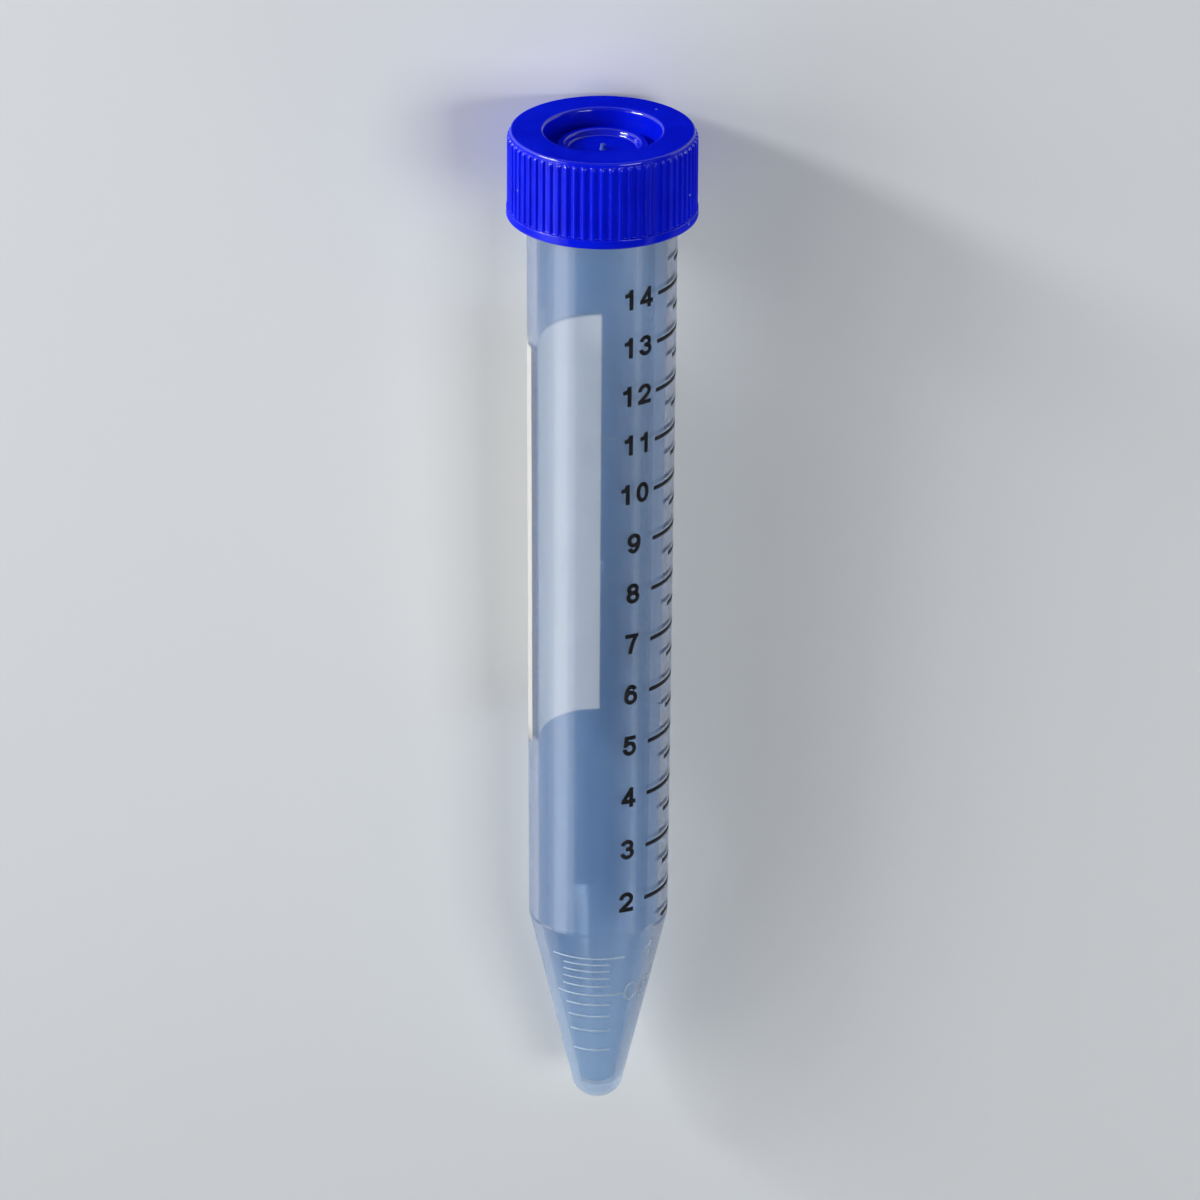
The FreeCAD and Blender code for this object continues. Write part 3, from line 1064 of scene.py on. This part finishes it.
scalePrint = {
    "shrink": 0.991,  # the print comes out a little short of the bore's own heights
    "middle": 54.9,
    "tickWidth": 0.49,
    "longStart": 38.6,  # at the tip, before the skew
    "halfStart": 62.3,
    "end": 100.0,
    "skew": 0.0949,  # degrees per millimetre: the print runs a little askew
    "labelMiddle": 21.5,
    "labelSkew": 0.0821,
    "digitHeight": 2.46,
    "digitWeight": 0.5,
    "digitWidths": {"1": 1.14, "2": 1.75, "4": 1.8},
    "digitWidth": 1.66,
    "digitGap": 0.84,
    "firstLabel": 2,
    "lastLabel": 14,
}


def printHeight(p, millilitres):
    return p["middle"] + (heightOf(millilitres) - p["middle"]) * p["shrink"]


def makeTicks(p):
    bm = bmesh.new()
    halves = range(2 * p["firstLabel"] - 1, 2 * p["lastLabel"] + 2)
    for half in halves:
        height = printHeight(p, half / 2)
        radius = radiusAt(outsideWall, height)
        begin = (p["longStart"] if half % 2 == 0 else p["halfStart"]) + p["skew"] * height
        length = math.radians(p["end"] - begin) * radius
        place = (math.radians(begin), height)
        addStroke(bm, [(0, 0), (length, 0)], inkSection(p["tickWidth"]), place)
    return makePiece(bm, "scale_ticks", "tube", plain["blackInk"], weighted=False)


def makeNumbers(p):
    bm = bmesh.new()
    section = inkSection(p["digitWeight"])
    for number in range(p["firstLabel"], p["lastLabel"] + 1):
        height = printHeight(p, number)
        place = (math.radians(p["labelMiddle"] + p["labelSkew"] * height), height)
        widths = [p["digitWidths"].get(digit, p["digitWidth"]) for digit in str(number)]
        left = -(sum(widths) + p["digitGap"] * (len(widths) - 1)) / 2
        for digit, width in zip(str(number), widths):
            addDigit(bm, digit, left, width, p["digitHeight"], p["digitWeight"], section, place)
            left += width + p["digitGap"]
    return makePiece(bm, "scale_numbers", "tube", plain["blackInk"], weighted=False)


makeTicks(scalePrint)
makeNumbers(scalePrint)
print("scale:", [round(heightOf(v), 2) for v in (0.1, 0.5, 1, 2, 8, 14)], "mm")


# The white patch to write on

def makePatch(p):
    bm = bmesh.new()
    sheets = []
    for lift in (-p["sunk"], p["stand"]):
        sheet = []
        for i in range(p["turns"] + 1):
            angle = math.radians(p["start"] + (p["end"] - p["start"]) * i / p["turns"])
            sheet.append([
                bm.verts.new(onWall(angle, p["foot"] + (p["top"] - p["foot"]) * k / p["rows"], lift))
                for k in range(p["rows"] + 1)
            ])
        sheets.append(sheet)
        stitchColumns(bm, sheet)
    inner, outer = sheets
    edges = [
        ([column[0] for column in inner], [column[0] for column in outer]),
        ([column[-1] for column in inner], [column[-1] for column in outer]),
        (inner[0], outer[0]),
        (inner[-1], outer[-1]),
    ]
    for low, high in edges:
        for k in range(len(low) - 1):
            bm.faces.new((low[k], low[k + 1], high[k + 1], high[k]))
    return makePiece(bm, "writing_patch", "tube", plain["whiteInk"])


makePatch(patchSizes)
print("writing patch: done")


# Raised marks on the cone: a line for each tenth of a millilitre, and two numbers

coneMarks = {
    "tenths": 10, "lineWidth": 0.16, "lineStand": 0.07,
    "shortLeft": 3.92, "shortSpread": 39, "shortRight": 1.40, "half": (-48, 29), "whole": (-44, 25),
    "digitHeight": 2.5, "digitWeight": 0.2, "digitStand": 0.08,
    "oneLeft": 46, "oneWidth": 1.0,
    "halfLeft": 30.5, "halfWidth": 1.75, "pointWidth": 0.4, "gap": 0.22,
}


def makeConeLines(c):
    bm = bmesh.new()
    special = {c["tenths"] // 2: c["half"], c["tenths"]: c["whole"]}
    for tenth in range(1, c["tenths"] + 1):
        height = heightOf(tenth / c["tenths"])
        radius = radiusAt(outsideWall, height)
        left = min(c["shortLeft"], radius * math.sin(math.radians(c["shortSpread"])))
        short = [math.degrees(math.asin(x / radius)) for x in (-left, c["shortRight"])]
        start, end = special.get(tenth, short)
        length = math.radians(end - start) * radius
        place = (math.radians(start), height)
        section = ridgeSection(c["lineWidth"], c["lineStand"])
        addStroke(bm, [(0, 0), (length, 0)], section, place)
    return makePiece(bm, "cone_lines", "tube", plain["raisedMarksPaintedHighlight"])


def makeConeNumbers(c):
    bm = bmesh.new()
    section = ridgeSection(c["digitWeight"], c["digitStand"])
    for millilitres, text, begin in ((1.0, "1", c["oneLeft"]), (0.5, "0.5", c["halfLeft"])):
        place = (math.radians(begin), heightOf(millilitres))
        left = 0.0
        for digit in text:
            width = {"1": c["oneWidth"], ".": c["pointWidth"]}.get(digit, c["halfWidth"])
            addDigit(bm, digit, left, width, c["digitHeight"], c["digitWeight"], section, place)
            left += width + c["gap"]
    return makePiece(bm, "cone_numbers", "tube", plain["raisedMarksPaintedHighlight"])


makeConeLines(coneMarks)
makeConeNumbers(coneMarks)
print("cone marks: done")


# The bench, the lights and the camera

benchLook = {
    "half": 3.0, "squares": 4, "colour": (0.80, 0.805, 0.81), "darker": 0.97, "glow": 0.05,
    "shader": {"Roughness": 0.7, "Specular IOR Level": 0.2},
    "tone": {"Scale": 6.0, "Stretch": 1.0, "Low": 0.2, "High": 0.8},
}


def makeBench(b):
    bm = bmesh.new()
    bmesh.ops.create_grid(bm, x_segments=b["squares"], y_segments=b["squares"], size=b["half"])
    mesh = bpy.data.meshes.new("bench")
    bm.to_mesh(mesh)
    bm.free()
    bench = bpy.data.objects.new("bench", mesh)
    scene.collection.objects.link(bench)
    constants = {**b["shader"], "Emission Color": (*b["colour"], 1.0)}
    material, tree, shader, place = newMaterial("paleBench", constants)
    tone = useGroup(tree, mouldFlow, place, b["tone"])
    darker = tuple(value * b["darker"] for value in b["colour"])
    path = addNode(tree, "ShaderNodeLightPath").outputs
    seen = path["Is Camera Ray"]
    for label in ("Is Glossy Ray", "Is Transmission Ray"):
        seen = addMath(tree, "MAXIMUM", seen, path[label])
    feed(tree, shader, {
        "Base Color": mixColours(tree, tone, b["colour"], darker),
        "Emission Strength": addMath(tree, "MULTIPLY", seen, b["glow"]),
    })
    mesh.materials.append(material)
    return bench


makeBench(benchLook)

# Each soft box: angle round the tube from straight up towards +X, tilt towards the cap, distance,
# width, length, watts and the beam's angle
softBoxes = {
    "key": (-66, -6, 0.60, 0.26, 0.60, 0.29, 112),
    "halo": (-66, -6, 0.62, 0.54, 0.62, 0.68, 112),
    "glint": (-72, 31, 0.60, 0.24, 0.08, 0.84, 112),
    "right": (34, 4, 0.70, 0.30, 0.24, 1.8, 180),
    "fill": (60, -20, 0.70, 0.12, 0.50, 0.14, 180),
}
lampColour = (0.95, 0.98, 1.0)


def addSoftBox(name, angle, tilt, distance, width, length, watts, beam):
    lamp = bpy.data.lights.new(name, "AREA")
    lamp.shape = "RECTANGLE"
    lamp.size = width
    lamp.size_y = length
    lamp.energy = watts
    lamp.spread = math.radians(beam)
    lamp.color = lampColour
    box = bpy.data.objects.new(name, lamp)
    scene.collection.objects.link(box)
    a, t = math.radians(angle), math.radians(tilt)
    away = Vector((math.sin(a) * math.cos(t), math.sin(t), math.cos(a) * math.cos(t)))
    middle = (cadBox[0] + cadBox[1]) / 2
    box.location = middle + away * distance
    across = alongTube.cross(away).normalized()
    box.rotation_mode = "QUATERNION"
    box.rotation_quaternion = Matrix((across, away.cross(across), away)).transposed().to_quaternion()


for name, values in softBoxes.items():
    addSoftBox(name, *values)

skyLook = {"Color": (0.80, 0.88, 1.0, 1.0), "Strength": 0.08}
world = bpy.data.worlds.new("studio")
world.use_nodes = True
feed(world.node_tree, world.node_tree.nodes["Background"], skyLook)
scene.world = world

cameraPlace = {
    "distance": 1400.0, "height": 24.0, "tilt": 23.91, "roll": 0.34, "lens": 369.0, "sensor": 36.0,
    "nearest": 0.05, "farthest": 20,
}


def addCamera(c):
    data = bpy.data.cameras.new("camera")
    data.lens = c["lens"]
    data.sensor_width = c["sensor"]
    data.clip_start = c["nearest"]
    data.clip_end = c["farthest"]
    camera = bpy.data.objects.new("camera", data)
    scene.collection.objects.link(camera)
    up, tilt = math.radians(c["height"]), math.radians(c["tilt"])
    reach = c["distance"]
    spot = Vector((0, -reach * math.cos(up), tubeLength / 2 + reach * math.sin(up))) * mm
    back = Vector((0, -math.cos(tilt), math.sin(tilt)))
    top = Vector((0, math.sin(tilt), math.cos(tilt)))
    turned = Matrix((Vector((1, 0, 0)), top, back)).transposed()
    turned = laid.to_3x3() @ turned @ Matrix.Rotation(math.radians(c["roll"]), 3, "Z")
    camera.matrix_world = Matrix.Translation(laid @ spot) @ turned.to_4x4()
    scene.camera = camera


addCamera(cameraPlace)
scene.view_settings.view_transform = "Standard"
print("studio: done")
